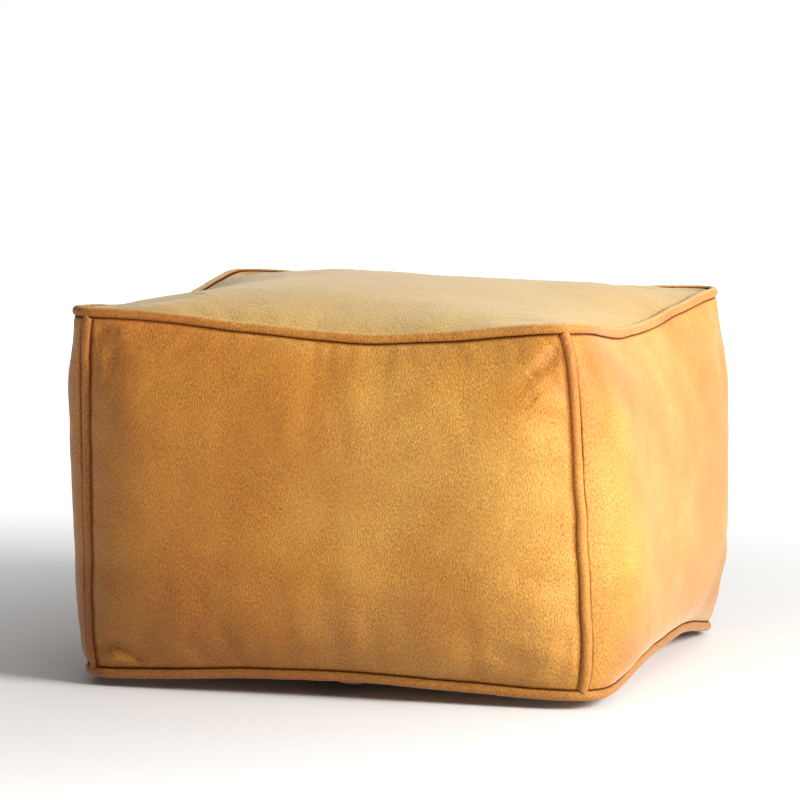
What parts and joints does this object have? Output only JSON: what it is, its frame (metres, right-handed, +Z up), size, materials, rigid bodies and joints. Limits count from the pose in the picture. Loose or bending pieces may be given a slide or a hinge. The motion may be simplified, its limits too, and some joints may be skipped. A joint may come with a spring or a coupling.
{
  "type": "leather pouf",
  "caption": "Square stuffed floor pouf of tan leather panels with corded piping in every seam, a zip across the underside and a filled cotton inner bag.",
  "frame": {"origin": "on the floor, under the centre of the pouf", "axes": "+X to the pouf's right, +Y to its back, +Z up; the zip runs along Y"},
  "size_m": [0.5382, 0.5382, 0.356],
  "materials": {
    "leather": "brushed nubuck with a fine upright nap, cloudy tan and honey tones",
    "piping_leather": "the same leather folded round a cord, worn lighter on its crest",
    "cotton_cord": "twisted cotton",
    "calico": "plain woven cotton",
    "fibre": "loose polyester fibre",
    "zip_tape": "woven tape",
    "zip_metal": "antique brass"
  },
  "bodies": {
    "cover": {"top_panel": "leather", "front_panel": "leather", "right_panel": "leather", "back_panel": "leather", "left_panel": "leather", "bottom_panel_left": "leather", "bottom_panel_right": "leather", "top_piping_cover": "piping_leather", "bottom_piping_cover": "piping_leather", "front_right_piping_cover": "piping_leather", "back_right_piping_cover": "piping_leather", "back_left_piping_cover": "piping_leather", "front_left_piping_cover": "piping_leather", "top_piping_cord": "cotton_cord", "bottom_piping_cord": "cotton_cord", "front_right_piping_cord": "cotton_cord", "back_right_piping_cord": "cotton_cord", "back_left_piping_cord": "cotton_cord", "front_left_piping_cord": "cotton_cord", "inner_bag": "calico", "filling": "fibre", "zip_tape_left": "zip_tape", "zip_tape_right": "zip_tape", "zip_teeth_left": "zip_metal", "zip_teeth_right": "zip_metal", "zip_top_stop_left": "zip_metal", "zip_top_stop_right": "zip_metal", "zip_bottom_stop": "zip_metal"},
    "zip_slider": {"zip_slider": "zip_metal"},
    "zip_pull": {"zip_pull": "zip_metal"}
  },
  "joints": [
    {"name": "zip_slide", "type": "slide", "parent": "cover", "child": "zip_slider", "axis": [0, -1, 0], "range_m": [0, 0.392], "deforming": ["zip_teeth_left", "zip_teeth_right"]},
    {"name": "zip_pull_hinge", "type": "hinge", "parent": "zip_slider", "child": "zip_pull", "pos_m": [0, 0.2084, 0.00815], "axis": [1, 0, 0], "range_deg": [0, 170]}
  ]
}
